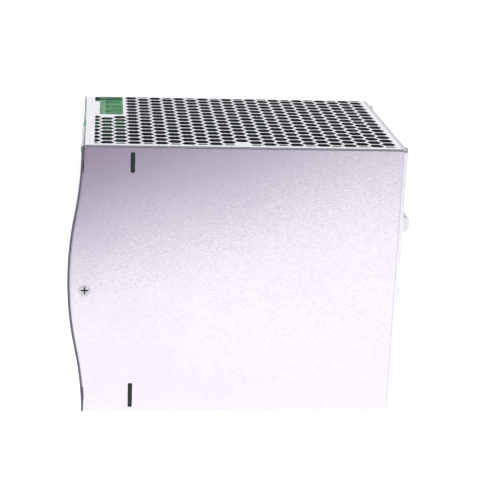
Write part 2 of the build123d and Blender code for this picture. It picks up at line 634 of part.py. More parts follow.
def wound_pair(place):
    """A ferrite core of two E halves and the coil on its middle leg."""
    front, rear, low, high = place
    core_front, core_rear = front + 5.5, rear - 5.5
    base = MAIN_BOARD_FACE + 4.0
    core = block(base, CORE_TOP, core_front, core_rear, low, high)
    window = (high - low) / 4
    for z in (low + window * 0.45, high - window * 1.45):
        core -= block(base + 6, CORE_TOP - 6, core_front, core_rear, z, z + window)
    coil_low, coil_high = low + window * 0.5, high - window * 0.5
    coil = block(base + 6.5, COIL_TOP - 1.0, front, rear, coil_low, coil_high)
    coil = fillet(coil.edges().filter_by(Axis.X), 5.0)
    leg_low, leg_high = low + window * 1.4, high - window * 1.4
    coil -= block(base, CORE_TOP, core_front - 0.1, core_rear + 0.1, leg_low, leg_high)
    bobbin = block(MAIN_BOARD_FACE, base, front + 1, rear - 1, low + 2, high - 2)
    return core, coil, bobbin


def line_filter():
    """A ring core stood on edge, with a winding on each half."""
    x, z, y0, y1 = MAIN_BOARD_FACE + 19.0, 35.0, -41.0, -27.5
    ring = rod((x, y0, z), (x, y1, z), 15.0) - rod((x, y0, z), (x, y1, z), 8.5)
    shell = rod((x, y0 - 1.8, z), (x, y1 + 1.8, z), 16.8) - rod((x, y0 - 1.8, z), (x, y1 + 1.8, z), 6.7)
    shell -= rod((x, y0 - FIT, z), (x, y1 + FIT, z), 15.0 + FIT) - rod((x, y0, z), (x, y1, z), 8.5 - FIT)
    halves = []
    for side in (-1, 1):
        gap = 3.0
        z0, z1 = sorted((z + side * gap, z + side * 20))
        halves.append(shell & block(x - 20, x + 20, y0 - 2, y1 + 2, z0, z1))
    return ring, halves


def film_capacitors():
    boxes = [block(MAIN_BOARD_FACE, MAIN_BOARD_FACE + 19, -41, -29, z, z + 5.5) for z in (52.0, 57.8)]
    return [fillet(box.edges().filter_by(Axis.X), 0.6) for box in boxes]


def fuse():
    """A ceramic fuse with two metal caps, held behind the input board."""
    y, z = TERMINAL_BOARD_REAR + 3.4, 30.0
    tube = rod((4, y, z), (28, y, z), 2.5)
    caps = [rod((4, y, z), (0, y, z), 2.8), rod((28, y, z), (32, y, z), 2.8)]
    return [tube] + caps


def inrush_relay():
    body = block(36, 48, TERMINAL_BOARD_REAR, TERMINAL_BOARD_REAR + 15, 20, 36)
    return fillet(body.edges().filter_by(Axis.Y), 0.6)


HEATSINK_LOW, HEATSINK_HIGH = 16.0, HEIGHT - 16.0


def primary_heatsink():
    """A plate across the air flow's path with fins that run upwards."""
    x0, x1 = MAIN_BOARD_FACE, 30.0
    sink = block(x0, x1, -18.0, -14.0, HEATSINK_LOW, HEATSINK_HIGH)
    fin_pitch = 6.0
    for k in range(12):
        x = x0 + 4 + k * fin_pitch
        sink += block(x, x + 1.6, -14.0, -7.0, HEATSINK_LOW, HEATSINK_HIGH)
    return sink


def secondary_heatsink():
    """An angle round the transformer, with fins on its outer leg."""
    x0, x1 = MAIN_BOARD_FACE, 15.0
    sink = block(x0, x1, 36.0, 39.0, HEATSINK_LOW, HEATSINK_HIGH)
    sink += block(x1 - 4, x1, 5.0, 39.0, HEATSINK_LOW, HEATSINK_HIGH)
    for k in range(6):
        y = 6.0 + k * 6.0
        sink += block(x1, x1 + 14.0, y, y + 1.6, HEATSINK_LOW, HEATSINK_HIGH)
    return sink


def power_package(face_y, out, x, z):
    """One flat transistor body against a heatsink face, out away from it."""
    y0, y1 = sorted((face_y, face_y + out * 4.6))
    body = block(x, x + 20, y0, y1, z - 7.8, z + 7.8)
    return body - rod((x + 15, y0, z), (x + 15, y1, z), 1.8)


def power_transistors():
    return [power_package(-18.0, -1, MAIN_BOARD_FACE + 8, z) for z in (28.0, 50.0, 72.0, 94.0)]


def output_rectifiers():
    return [power_package(39.0, 1, MAIN_BOARD_FACE + 8, z) for z in (30.0, 62.6, 95.2)]


def control_board():
    return block(MAIN_BOARD_FACE, -8.0, -3.4, -1.8, 22.0, 103.0)


def control_chips():
    chips = [block(-36, -26, -1.8, 0.4, z, z + 6) for z in (30.0, 52.0, 84.0)]
    chips += [block(-20, -14, -1.8, 1.2, z, z + 8) for z in (38.0, 66.0)]
    return chips


def output_busbars():
    """Two copper straps from the main board to the output terminal board."""
    bars = []
    for z in (90.5, 97.5):
        strap = block(MAIN_BOARD_FACE, -12.0, -43.9, -42.7, z, z + 5)
        bars.append(strap + block(-13.2, -12.0, TERMINAL_BOARD_REAR, -42.7, z, z + 5))
    return bars


# ---------------------------------------------------------------- the assembly
def build_case():
    panel = side_panel()
    save("right_side_panel", panel)
    save("left_side_panel", mirrored_x(panel))
    save("top_cover", cover(terminal_opening(OUTPUT_POLES)))
    save("bottom_cover", upside_down(cover(terminal_opening(INPUT_POLES))))
    save("front_panel", front_panel())
    save("rear_plate", rear_plate())
    save("side_panel_screws", *side_screws())
    save("rear_plate_screws", *rear_screws())


def build_rail_foot():
    save("din_bracket", din_bracket())
    save("din_bracket_screws", *bracket_screws())
    save("din_slider", din_slider())
    save("din_spring", din_spring())


def build_terminals():
    save("output_terminal_block", terminal_block(OUTPUT_POLES))
    save("input_terminal_block", upside_down(terminal_block(INPUT_POLES)))
    bars = [contact_bar(x) for x in pole_places(OUTPUT_POLES)]
    bars += [upside_down(contact_bar(x)) for x in pole_places(INPUT_POLES)]
    save("terminal_contacts", *bars)
    for number, x in enumerate(pole_places(OUTPUT_POLES), start=1):
        save(f"output_screw_{number}", terminal_screw(x))
        save(f"output_clamp_{number}", rising_clamp(x))
    for number, x in enumerate(pole_places(INPUT_POLES), start=1):
        save(f"input_screw_{number}", upside_down(terminal_screw(x)))
        save(f"input_clamp_{number}", upside_down(rising_clamp(x)))
    board = terminal_board(OUTPUT_POLES, TOP_SLOT, (86.0, HEIGHT - 2.0))
    for x in plug_places():
        board -= block(x - PIN_HALF, x + PIN_HALF, TERMINAL_BOARD_FRONT, TERMINAL_BOARD_REAR,
                       PIN_Z - PIN_HALF, PIN_Z + PIN_HALF)
    save("output_terminal_board", board)
    save("input_terminal_board", terminal_board(INPUT_POLES, BOTTOM_SLOT, (2.0, 39.2)))


def build_front_controls():
    save("signal_header", signal_header())
    save("signal_header_pins", *header_pins())
    save("signal_plug", signal_plug())
    for number, x in enumerate(plug_places(), start=1):
        save(f"plug_lever_{number}", plug_lever(x))
    save("trimmer_body", trimmer_body())
    save("trimmer_shaft", trimmer_shaft())
    save("status_lamp", light_pipe(), lamp_body())


def build_electronics():
    save("main_board", main_board())
    save("board_mountings", *standoffs(), *board_screws())
    save("insulation_sheet", insulation_sheet())
    save("bulk_capacitors", *bulk_capacitors())
    save("output_capacitors", *output_capacitors())
    for name, place in (("transformer", TRANSFORMER), ("pfc_choke", PFC_CHOKE)):
        core, coil, bobbin = wound_pair(place)
        save(name + "_core", core)
        save(name + "_coil", coil, bobbin)
    ring, windings = line_filter()
    save("line_filter_core", ring)
    save("line_filter_windings", *windings)
    save("film_capacitors", *film_capacitors())
    save("fuse", *fuse())
    save("inrush_relay", inrush_relay())
    save("primary_heatsink", primary_heatsink())
    save("secondary_heatsink", secondary_heatsink())
    save("power_semiconductors", *power_transistors(), *output_rectifiers())
    save("control_board", control_board(), *control_chips())
    save("output_busbars", *output_busbars())


os.makedirs("parts", exist_ok=True)
build_case()
build_rail_foot()
build_terminals()
build_front_controls()
build_electronics()
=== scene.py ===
# %% [markdown]
# # A power supply for a top-hat rail
#
# The real object is a metal box, 110 by 125.2 by 150 mm, with a bulged front, two covers full of
# hexagonal vents, green screw terminals and a sprung foot that clips on a 35 mm rail.
# The frame holds every part at its true size and place. This lesson gives each of them the edges
# and the finish that its maker gave it: folded sheet, moulded polyamide, plated screws, wound coils.

# %% Load the frame
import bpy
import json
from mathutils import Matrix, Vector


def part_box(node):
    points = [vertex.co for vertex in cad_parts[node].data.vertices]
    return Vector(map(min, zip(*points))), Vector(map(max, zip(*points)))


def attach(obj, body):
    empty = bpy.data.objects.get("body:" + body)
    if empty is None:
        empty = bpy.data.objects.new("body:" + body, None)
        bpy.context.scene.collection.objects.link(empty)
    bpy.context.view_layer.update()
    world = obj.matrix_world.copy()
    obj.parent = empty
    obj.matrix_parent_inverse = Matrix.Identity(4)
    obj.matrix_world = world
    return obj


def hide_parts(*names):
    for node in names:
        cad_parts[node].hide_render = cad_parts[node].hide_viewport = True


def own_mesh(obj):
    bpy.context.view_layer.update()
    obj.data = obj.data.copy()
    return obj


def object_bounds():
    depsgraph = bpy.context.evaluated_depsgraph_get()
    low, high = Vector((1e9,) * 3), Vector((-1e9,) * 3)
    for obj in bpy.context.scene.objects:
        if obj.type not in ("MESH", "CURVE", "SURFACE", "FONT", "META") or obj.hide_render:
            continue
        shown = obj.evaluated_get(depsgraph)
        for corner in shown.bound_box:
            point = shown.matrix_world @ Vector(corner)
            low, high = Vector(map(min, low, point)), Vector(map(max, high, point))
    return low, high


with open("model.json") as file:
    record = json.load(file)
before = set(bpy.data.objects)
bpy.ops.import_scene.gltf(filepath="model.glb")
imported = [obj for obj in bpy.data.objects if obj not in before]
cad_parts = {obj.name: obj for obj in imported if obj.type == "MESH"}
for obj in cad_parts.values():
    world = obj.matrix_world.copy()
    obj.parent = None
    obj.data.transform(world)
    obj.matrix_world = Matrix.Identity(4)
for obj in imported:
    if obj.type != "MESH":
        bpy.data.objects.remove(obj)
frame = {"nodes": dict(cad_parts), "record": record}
cad_box = [list(corner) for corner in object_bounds()]

import json
import math

import bmesh
import bpy
from mathutils import Matrix, Vector

MM = 0.001

# %% [markdown]
# ## Which body carries which node
#
# A finished piece has to ride on the same body as the part that it stands for. The imported record
# lists the nodes of each body, so a small table the other way round answers that for every piece.

# %% Look up bodies
BODY_OF = {}
for body, members in frame["record"]["behaviour"]["bodies"].items():
    for member in members:
        BODY_OF[member] = body
print("first entries", list(BODY_OF.items())[:2])

# %% [markdown]
# ## Camera
#
# The unit stands on its bottom cover, seen from its right side, a little from above and nearly in
# line with its front edge. A long lens keeps the box nearly square. The camera is rolled by two
# degrees, as a hand-held one is. It comes first, because everything else is judged through it.

# %% Place the camera
camera_data = bpy.data.cameras.new("camera")
camera_data.sensor_width = 36.0
camera_data.lens = 102.5
camera = bpy.data.objects.new("camera", camera_data)
bpy.context.collection.objects.link(camera)
CAMERA_AT = Vector((0.6594, -0.0590, 0.2695))
TURN, TILT, ROLL = (math.radians(angle) for angle in (6.16, 17.44, 2.25))
looking = Vector((-math.cos(TURN) * math.cos(TILT), math.sin(TURN) * math.cos(TILT), -math.sin(TILT)))
aim = looking.to_track_quat("-Z", "Y").to_matrix().to_4x4()
camera.matrix_world = Matrix.Translation(CAMERA_AT) @ aim @ Matrix.Rotation(ROLL, 4, "Z")
bpy.context.scene.camera = camera
print("camera distance", round(CAMERA_AT.length, 3), "m")

# %% [markdown]
# ## Small helpers
#
# Colours are written as the hex values that a painter or a web page would use. Shaders want linear
# light, so one function converts them. Another adds a node with its settings and links, and a
# third starts a material that is named after the real one. Patterns are placed in object coordinates,
# which are metres here, so a pattern of `size` millimetres needs a scale of 1000 / size.

# %% Helpers for materials
def linear(hex_code):
    """An sRGB hex colour as the linear RGBA that a shader works in."""
    channels = [int(hex_code[k:k + 2], 16) / 255 for k in (0, 2, 4)]
    return [c / 12.92 if c <= 0.04045 else ((c + 0.055) / 1.055) ** 2.4 for c in channels] + [1.0]


def add(material, kind, inputs=None, **settings):
    """Add one node to a material, or to the world: a socket is linked, any other value is set."""
    node = material.node_tree.nodes.new(kind)
    for name, value in settings.items():
        setattr(node, name, value)
    for name, value in (inputs or {}).items():
        if isinstance(value, bpy.types.NodeSocket):
            material.node_tree.links.new(value, node.inputs[name])
        else:
            node.inputs[name].default_value = value
    return node


def new_material(name, **shader_inputs):
    """A material with one Principled shader, whose uniform values are set on its own sockets."""
    material = bpy.data.materials.new(name)
    material.use_nodes = True
    shader = material.node_tree.nodes["Principled BSDF"]
    for socket, value in shader_inputs.items():
        shader.inputs[socket.replace("_", " ")].default_value = value
    return material


def shader_of(material):
    return material.node_tree.nodes["Principled BSDF"]


def plug_in(material, socket, value):
    """Link a pattern to one input of the material's shader."""
    material.node_tree.links.new(value, shader_of(material).inputs[socket])


def per_mm(size):
    """The texture scale that makes a feature of this many millimetres."""
    return 1.0 / (size * MM)


print("white is", linear("FFFFFF")[:3])

# %% [markdown]
# Most finishes here need the same three steps: noise stretched to the direction in which the
# surface was worked, two close colours mixed by it, and a bump of a tenth of a millimetre at most.
# These helpers make those steps, and each material below chooses its own sizes.

# %% Helpers for patterns
def stretched_noise(material, size_x, size_y, size_z, detail=3.0):
    """Noise whose features measure so many millimetres along X, Y and Z."""
    place = add(material, "ShaderNodeTexCoord")
    scale = (per_mm(size_x), per_mm(size_y), per_mm(size_z))
    spread = add(material, "ShaderNodeMapping", {"Vector": place.outputs["Object"], "Scale": scale})
    noise = add(material, "ShaderNodeTexNoise",
                {"Vector": spread.outputs["Vector"], "Scale": 1.0, "Detail": detail, "Roughness": 0.6})
    return noise.outputs["Fac"]


def between(material, factor, low, high):
    """Spread a noise that stays near one half over the range from low to high."""
    fitted = add(material, "ShaderNodeMapRange",
                 {"Value": factor, "From Min": 0.3, "From Max": 0.7, "To Min": low, "To Max": high})
    return fitted.outputs["Result"]


def two_colours(material, factor, first, second):
    """Mix two colours, given as hex values or as sockets, by a factor from 0 to 1."""
    mix = add(material, "ShaderNodeMix", {"Factor": factor}, data_type="RGBA")
    for name, colour in (("A", first), ("B", second)):
        socket = [s for s in mix.inputs if s.name == name and s.type == "RGBA"][0]
        if isinstance(colour, str):
            socket.default_value = linear(colour)
        else:
            material.node_tree.links.new(colour, socket)
    return [s for s in mix.outputs if s.type == "RGBA"][0]


def raised(material, height, depth_mm, under=None):
    """A bump of so many millimetres, on top of another one where there is one."""
    inputs = {"Height": height, "Distance": depth_mm * MM, "Strength": 1.0}
    if under is not None:
        inputs["Normal"] = under
    return add(material, "ShaderNodeBump", inputs).outputs["Normal"]


print("a 0.5 mm grain has scale", per_mm(0.5))

# %% [markdown]
# ## Satin aluminium for the side panels
#
# The panels are rolled aluminium sheet, brushed along the depth of the box and anodised clear with
# a faint lilac cast. Rolling and brushing leave fine parallel lines. They scatter a reflection into
# a broad, soft gradient, with a fine streak where one line is deeper than the next. Real lines are
# about 0.05 mm wide, too fine to show in the render, so they are drawn half a millimetre wide,
# under 2 mm long, and faint. As real grooves they would need millions of faces, so they stay in
# the shader. The bump is only a tenth of a micrometre: a bright metal shows even that as streaks.

# %% Brushed sheet metals
def brushed_sheet(name, light, dark, roughness, line=(0.40, 6.0), along="Y"):
    """Sheet metal brushed along one axis: faint streaks in colour, roughness and height."""
    material = new_material(name, Metallic=1.0)
    width, length = line
    sizes = [length if axis == along else width for axis in "XYZ"]
    streaks = stretched_noise(material, *sizes, detail=2.0)
    cloud = stretched_noise(material, 38.0, 38.0, 38.0, detail=2.0)
    base = two_colours(material, between(material, streaks, 0.0, 1.0), dark, light)
    shaded = two_colours(material, between(material, cloud, 0.0, 0.35), base, dark)
    plug_in(material, "Base Color", shaded)
    plug_in(material, "Roughness", between(material, streaks, roughness + 0.03, roughness - 0.03))
    plug_in(material, "Normal", raised(material, streaks, 0.0001))
    return material


side_aluminium = brushed_sheet("satin_anodised_aluminium", "F8F5FA", "DFD8E5", 0.22, (0.45, 1.7))
front_aluminium = brushed_sheet("front_satin_aluminium", "F6F5F9", "E6E4EC", 0.34, along="X")
rear_aluminium = brushed_sheet("rear_rolled_aluminium", "F8F7FB", "ECEBF1", 0.38, along="Z")
print("made", side_aluminium.name, front_aluminium.name, rear_aluminium.name)

# %% [markdown]
# ## Sheared and punched edges
#
# A shear or a punch cuts only the first third of a sheet and tears the rest, so the cut edge is
# duller than the face, with fine marks across its thickness. Its colour is also darkened far below
# bare metal as painted shade: it stands in for the shadow in the gaps, and draws a thin dark line
# round each panel and each vent. The marks are 0.3 mm apart.

# %% Cut edges
def cut_edge_with_painted_shade(name, light, dark):
    """The torn edge of a sheared sheet: rough and finely marked, and darkened as painted shade."""
    material = new_material(name, Metallic=0.7)
    marks = stretched_noise(material, 0.3, 0.3, 0.9, detail=4.0)
    plug_in(material, "Base Color", two_colours(material, between(material, marks, 0, 1), dark, light))
    plug_in(material, "Roughness", between(material, marks, 0.55, 0.75))
    plug_in(material, "Normal", raised(material, marks, 0.01))
    return material


# The dark edge colours are painted shade: the shadow in the gaps between sheets and in the vents.
sheared_aluminium_painted_shade = cut_edge_with_painted_shade("sheared_aluminium_edge_painted_shade", "8C8895", "666270")
punched_steel_painted_shade = cut_edge_with_painted_shade("punched_steel_edge_painted_shade", "5C5E6A", "3A3B45")
print("made", sheared_aluminium_painted_shade.name, punched_steel_painted_shade.name)

# %% [markdown]
# ## Zinc-coated steel for the covers
#
# The covers are thin steel, coated with zinc before it is punched. The zinc freezes in pale
# patches a few millimetres wide, called spangle. They come from a cell pattern, with only a slight
# change in tone. The punched walls of the holes have no zinc, and get the cut edge made above,
# whose dark colour is painted shade.

# %% Zinc-coated sheet
def zinc_coated_sheet():
    material = new_material("zinc_coated_steel", Metallic=1.0)
    place = add(material, "ShaderNodeTexCoord").outputs["Object"]
    cells = add(material, "ShaderNodeTexVoronoi", {"Vector": place, "Scale": per_mm(2.6)})
    grain = stretched_noise(material, 0.7, 5.0, 0.7)
    tone = add(material, "ShaderNodeSeparateColor", {"Color": cells.outputs["Color"]}).outputs["Red"]
    patches = two_colours(material, tone, "FAFAFF", "EDEEF6")
    zinc = two_colours(material, between(material, grain, 0, 0.5), patches, "DFE1EA")
    plug_in(material, "Base Color", zinc)
    plug_in(material, "Roughness", between(material, grain, 0.16, 0.24))
    plug_in(material, "Normal", raised(material, grain, 0.001))
    return material


cover_steel = zinc_coated_sheet()
print("made", cover_steel.name)

# %% [markdown]
# ## Plated hardware
#
# The screws, spring, latch and clamps are turned, wound or stamped steel with a thin coat of zinc
# or nickel. The coat levels the surface, which shines evenly apart from small dull spots.

# %% Plated metals
def plated(name, light, dark, roughness, spot_mm=0.6):
    """Plated steel: nearly even, with small spots where the coat is duller."""
    material = new_material(name, Metallic=1.0)
    spots = stretched_noise(material, spot_mm, spot_mm, spot_mm, detail=5.0)
    plug_in(material, "Base Color", two_colours(material, between(material, spots, 0, 1), dark, light))
    plug_in(material, "Roughness", between(material, spots, roughness + 0.08, roughness - 0.04))
    plug_in(material, "Normal", raised(material, spots, 0.003))
    return material


zinc_plating = plated("clear_zinc_plating", "E2E3E7", "C4C5CB", 0.26)
# The recess finish is near-black zinc: painted shade for the screws' recesses.
recess_painted_shade_zinc = plated("zinc_with_painted_shade_in_the_recess", "3C3B40", "232327", 0.60)
latch_plating = plated("latch_zinc_plating", "E0E2E6", "C6C9CE", 0.34, 1.4)
spring_steel = plated("drawn_spring_steel", "A9ADB4", "868A92", 0.24, 0.3)
clamp_nickel = plated("nickel_plated_steel", "C9C8C2", "A5A49D", 0.22, 0.5)
tinned_copper = plated("tinned_copper", "D8D5CC", "BDB7A6", 0.28, 0.8)
bracket_aluminium = brushed_sheet("extruded_bracket_aluminium", "EEEEF2", "DCDDE2",
                                  0.36, (0.7, 30.0), "X")
heatsink_aluminium = brushed_sheet("extruded_heatsink_aluminium", "A9AAB0", "8E9097",
                                   0.40, (0.6, 25.0), "Z")
print("made eight metals")

# %% [markdown]
# ## Moulded plastics
#
# The terminals are glass-filled polyamide, moulded against an eroded tool: a fine, even matt grain
# of about a tenth of a millimetre, which is drawn at 0.25 mm here so that it shows. Flow from the
# gate leaves slow changes in tone. The release buttons are the same plastic in orange.

# %% Moulded plastic
def moulded(name, light, dark, roughness=0.42, grain_mm=0.25, grain_depth=0.012):
    """Moulded plastic: an eroded grain, with slow flow marks under it."""
    material = new_material(name, IOR=1.53)
    flow = stretched_noise(material, 9.0, 9.0, 5.0, detail=2.0)
    grain = stretched_noise(material, grain_mm, grain_mm, grain_mm, detail=2.0)
    plug_in(material, "Base Color", two_colours(material, between(material, flow, 0, 1), dark, light))
    plug_in(material, "Roughness", between(material, grain, roughness - 0.06, roughness + 0.08))
    plug_in(material, "Normal", raised(material, grain, grain_depth))
    return material


green_polyamide = moulded("green_polyamide", "8FDDA4", "6FC187")
orange_polyamide = moulded("orange_polyamide", "F58A5C", "EE7443")
blue_polyester = moulded("blue_moulded_polyester", "2F5FB4", "264F98", 0.38)
white_polyamide = moulded("white_polyamide", "EFEFEA", "DEDED7", 0.40)
black_epoxy = moulded("black_moulded_epoxy", "1C1C1E", "131315", 0.46)
black_relay_case = moulded("black_polyester_case", "222326", "18191B", 0.35)
yellow_film_box = moulded("yellow_polyester_case", "C9B04A", "B59C3C", 0.36)
print("made seven plastics")

# %% [markdown]
# ## Circuit boards
#
# A board is woven glass and epoxy under a green solder resist. Through the resist the weave shows
# as faint bands, and copper tracks stand up under it as paler lines. A wave pattern draws the
# weave, with bands 0.6 mm wide, and the joints of a brick pattern draw the tracks. A brick takes
# half a unit of that pattern by a quarter, so a unit of 4 mm puts the joints 2 mm and 1 mm apart.

# %% Circuit board
BAND = 6.28      # dividing a wave pattern's scale by this makes each band as wide as asked


def circuit_board():
    material = new_material("green_solder_resist", IOR=1.5, Coat_Weight=0.5, Coat_Roughness=0.12)
    place = add(material, "ShaderNodeTexCoord").outputs["Object"]
    weave = add(material, "ShaderNodeTexWave",
                {"Vector": place, "Scale": per_mm(0.6) / BAND, "Distortion": 0.4}, bands_direction="Z")
    tracks = add(material, "ShaderNodeTexBrick",
                 {"Vector": place, "Scale": per_mm(4.0), "Mortar Size": 0.04, "Color1": linear("FFFFFF"),
                  "Color2": linear("B0B0B0"), "Mortar": linear("000000")})
    tone = two_colours(material, weave.outputs["Fac"], "123E2B", "17482F")
    lined = two_colours(material, tracks.outputs["Fac"], tone, "2B6A47")
    plug_in(material, "Base Color", lined)
    plug_in(material, "Roughness", between(material, weave.outputs["Fac"], 0.30, 0.42))
    plug_in(material, "Normal", raised(material, tracks.outputs["Fac"], 0.02))
    return material


solder_resist = circuit_board()
sawn_board_edge = moulded("sawn_glass_epoxy_edge", "1E3A31", "0F1E19", 0.75, 0.3, 0.03)
print("made", solder_resist.name, sawn_board_edge.name)

# %% [markdown]
# ## Cores, coils and cans
#
# Ferrite is a fired ceramic, ground flat, dull and nearly black. Each coil is wrapped in polyester
# tape, and the edges of its turns make steps about 6 mm apart. Electrolytic capacitors have a thin
# shrunk sleeve and a bare aluminium end. The stripe that is printed on the sleeve is left out.

# %% Ferrite, tape and sleeves
def wrapped_tape(name, light, dark):
    """Polyester tape, wound in layers whose edges show as steps across the coil."""
    material = new_material(name, IOR=1.6, Coat_Weight=0.3, Coat_Roughness=0.2)
    place = add(material, "ShaderNodeTexCoord").outputs["Object"]
    steps = add(material, "ShaderNodeTexWave",
                {"Vector": place, "Scale": per_mm(3.2) / BAND, "Distortion": 0.8},
                bands_direction="X", wave_profile="SAW")
    plug_in(material, "Base Color", two_colours(material, steps.outputs["Fac"], dark, light))
    plug_in(material, "Roughness", between(material, steps.outputs["Fac"], 0.34, 0.46))
    plug_in(material, "Normal", raised(material, steps.outputs["Fac"], 0.06))
    return material


ferrite_grey = moulded("ground_ferrite", "3B3B3F", "2A2A2D", 0.55, 0.4, 0.02)
green_tape = wrapped_tape("green_polyester_tape", "4F9A66", "3A7A4E")
yellow_tape = wrapped_tape("yellow_polyester_tape", "C7A53A", "A98A2C")
sleeve_pvc = moulded("shrunk_pvc_sleeve", "232B45", "1A2036", 0.24, 2.5, 0.02)
can_aluminium = plated("drawn_can_aluminium", "D0D2D6", "B9BBC0", 0.30, 1.0)
copper_enamel = plated("enamelled_copper_wire", "B8692F", "96501F", 0.25, 0.8)
glazed_tube = moulded("glazed_ceramic_tube", "EDEBE4", "DEDBD2", 0.18, 1.2, 0.006)
clear_film = moulded("polyester_insulating_film", "D9D6CC", "CBC7BB", 0.30, 3.0, 0.01)
lens_plastic = moulded("green_tinted_acrylic", "BFE8C4", "A4D8AB", 0.12, 1.0, 0.002)
print("made materials in all:", len(bpy.data.materials))

# %% [markdown]
# ## Finishing a part
#
# The frame's meshes have perfectly sharp edges. No real edge is: sheared sheet has a burr that was
# brushed off, and a moulding has the small radius of its tool. That radius catches the light and
# draws the thin bright line that makes a part look real. So each part is copied, its split corners
# are welded, its flat triangles are joined, and a bevel of the right size rounds its edges.

# %% Round the edges of a copied part
SHARPEST = math.radians(28)


def welded_copy(node):
    """A copy of a node's mesh with its corners welded and its flat triangles joined."""
    mesh = frame["nodes"][node].data.copy()
    shape = bmesh.new()
    shape.from_mesh(mesh)
    bmesh.ops.remove_doubles(shape, verts=shape.verts, dist=0.002 * MM)
    bmesh.ops.dissolve_limit(shape, angle_limit=math.radians(0.5), verts=shape.verts, edges=shape.edges)
    shape.to_mesh(mesh)
    shape.free()
    return mesh


def show(mesh, name, node, material):
    """Put a finished mesh in the scene on its node's body, in place of the node."""
    piece = bpy.data.objects.new(name, mesh)
    bpy.context.collection.objects.link(piece)
    mesh.materials.clear()
    mesh.materials.append(material)
    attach(piece, BODY_OF[node])
    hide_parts(node)
    return piece


def finish_part(node, material, edge_mm=0.15, segments=2):
    """Show a node with rounded edges and its real finish."""
    piece = show(welded_copy(node), node + "_finished", node, material)
    for polygon in piece.data.polygons:
        polygon.use_smooth = True
    bevel = piece.modifiers.new("edge", "BEVEL")
    bevel.width = edge_mm * MM
    bevel.segments = segments
    bevel.limit_method = "ANGLE"
    bevel.angle_limit = SHARPEST
    bevel.use_clamp_overlap = True
    flat = piece.modifiers.new("flat faces", "WEIGHTED_NORMAL")
    flat.weight = 100
    flat.keep_sharp = False
    return piece


def second_finish(piece, material, test):
    """Give the faces that pass a test another finish, and say how many there are."""
    piece.data.materials.append(material)
    chosen = [face for face in piece.data.polygons if test(face)]
    for face in chosen:
        face.material_index = len(piece.data.materials) - 1
    return len(chosen)


print("edges sharper than", round(math.degrees(SHARPEST)), "degrees are rounded")

# %% [markdown]
# ## The case
#
# Six sheets make the box. The side panels are 1 mm thick, the covers 0.8 mm, and the rear plate
# is nearly 2 mm, so each gets a radius to match. A face that looks along its own sheet is a cut
# edge, and its normal finds it: across X on a side panel, and across Z on a cover. The folded
# flanges of a cover look that way too, so there only the small faces, the vents' walls, are taken.
# On the front panel the faces at its sides that look across X are taken. All of these get the dark
# edge colour, which is painted shade for the gaps between the sheets and in the vents.

# %% Case sheets
VENT_WALL = 4 * MM * MM      # a wall of a vent is smaller than this; a folded flange is larger
EDGE_BAND = 0.2 * MM         # how far in from the front panel's side a face still is its edge
half_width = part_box("front_panel")[1][0]


def across_panel(face):
    return abs(face.normal.x) < 0.3


def vent_wall(face):
    return abs(face.normal.z) < 0.3 and face.area < VENT_WALL


def front_side_edge(face):
    return abs(face.normal.x) > 0.9 and abs(face.center.x) > half_width - EDGE_BAND


for node in ("right_side_panel", "left_side_panel"):
    panel = finish_part(node, side_aluminium, 0.12)
    print(node, second_finish(panel, sheared_aluminium_painted_shade, across_panel), "edge faces")
for node in ("top_cover", "bottom_cover"):
    cover = finish_part(node, cover_steel, 0.07, 1)
    print(node, second_finish(cover, punched_steel_painted_shade, vent_wall), "punched faces")
front = finish_part("front_panel", front_aluminium, 0.22)
# The front panel's side faces get the dark edge colour as painted shade for the gap at the side panel.
second_finish(front, sheared_aluminium_painted_shade, front_side_edge)
finish_part("rear_plate", rear_aluminium, 0.3)
for node in ("rear_plate_screws", "din_bracket_screws", "board_mountings"):
    finish_part(node, zinc_plating, 0.08)
print("case finished")

# %% [markdown]
# The head of each side screw is countersunk, with a cross recess. The faces below the head's flat
# top, in the recess and on the cone that meets the countersunk hole, are near black: painted shade
# for the recess and for the ring round the head.

# %% Side screws
screws = finish_part("side_panel_screws", zinc_plating, 0.2)
case_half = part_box("right_side_panel")[1][0]
low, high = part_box("side_panel_screws")
screw_axis = ((low[1] + high[1]) / 2, (low[2] + high[2]) / 2)
RECESS = 1.75 * MM           # how far the cross reaches from the screw's axis
SUNK_FROM, SUNK_TO = 0.05 * MM, 0.95 * MM    # depths below the panel's face


def in_recess(face):
    """True for the recess, under the flat top, and for the cone that meets the countersunk hole, which
    get painted shade.
    """
    middle = face.center
    off_axis = math.hypot(middle.y - screw_axis[0], middle.z - screw_axis[1])
    sunk = SUNK_FROM < case_half - abs(middle.x) < SUNK_TO
    return sunk and (off_axis < RECESS or abs(face.normal.x) < 0.95)


# The faces in the recess get the painted shade.
print("recess faces", second_finish(screws, recess_painted_shade_zinc, in_recess))

# %% [markdown]
# ## The rail foot
#
# The foot is an extruded bracket, a stamped latch and a small compression spring. The spring is
# a helix with closed ends, swept from a curve, and built at one length; the real one shortens when
# the latch is pulled down.

# %% Bracket and latch
finish_part("din_bracket", bracket_aluminium, 0.25)
finish_part("din_slider", latch_plating, 0.25)

# %% Spring
def curve_mesh(points, radius, name):
    """A round wire along a smooth line, as a mesh."""
    curve = bpy.data.curves.new(name, "CURVE")
    curve.dimensions = "3D"
    curve.bevel_depth = radius
    curve.bevel_resolution = 3
    curve.use_fill_caps = True
    line = curve.splines.new("POLY")
    line.points.add(len(points) - 1)
    for point, place in zip(line.points, points):
        point.co = (*place, 1.0)
    holder = bpy.data.objects.new(name, curve)
    bpy.context.collection.objects.link(holder)
    mesh = bpy.data.meshes.new_from_object(holder.evaluated_get(bpy.context.evaluated_depsgraph_get()))
    bpy.data.objects.remove(holder)
    for polygon in mesh.polygons:
        polygon.use_smooth = True
    return mesh


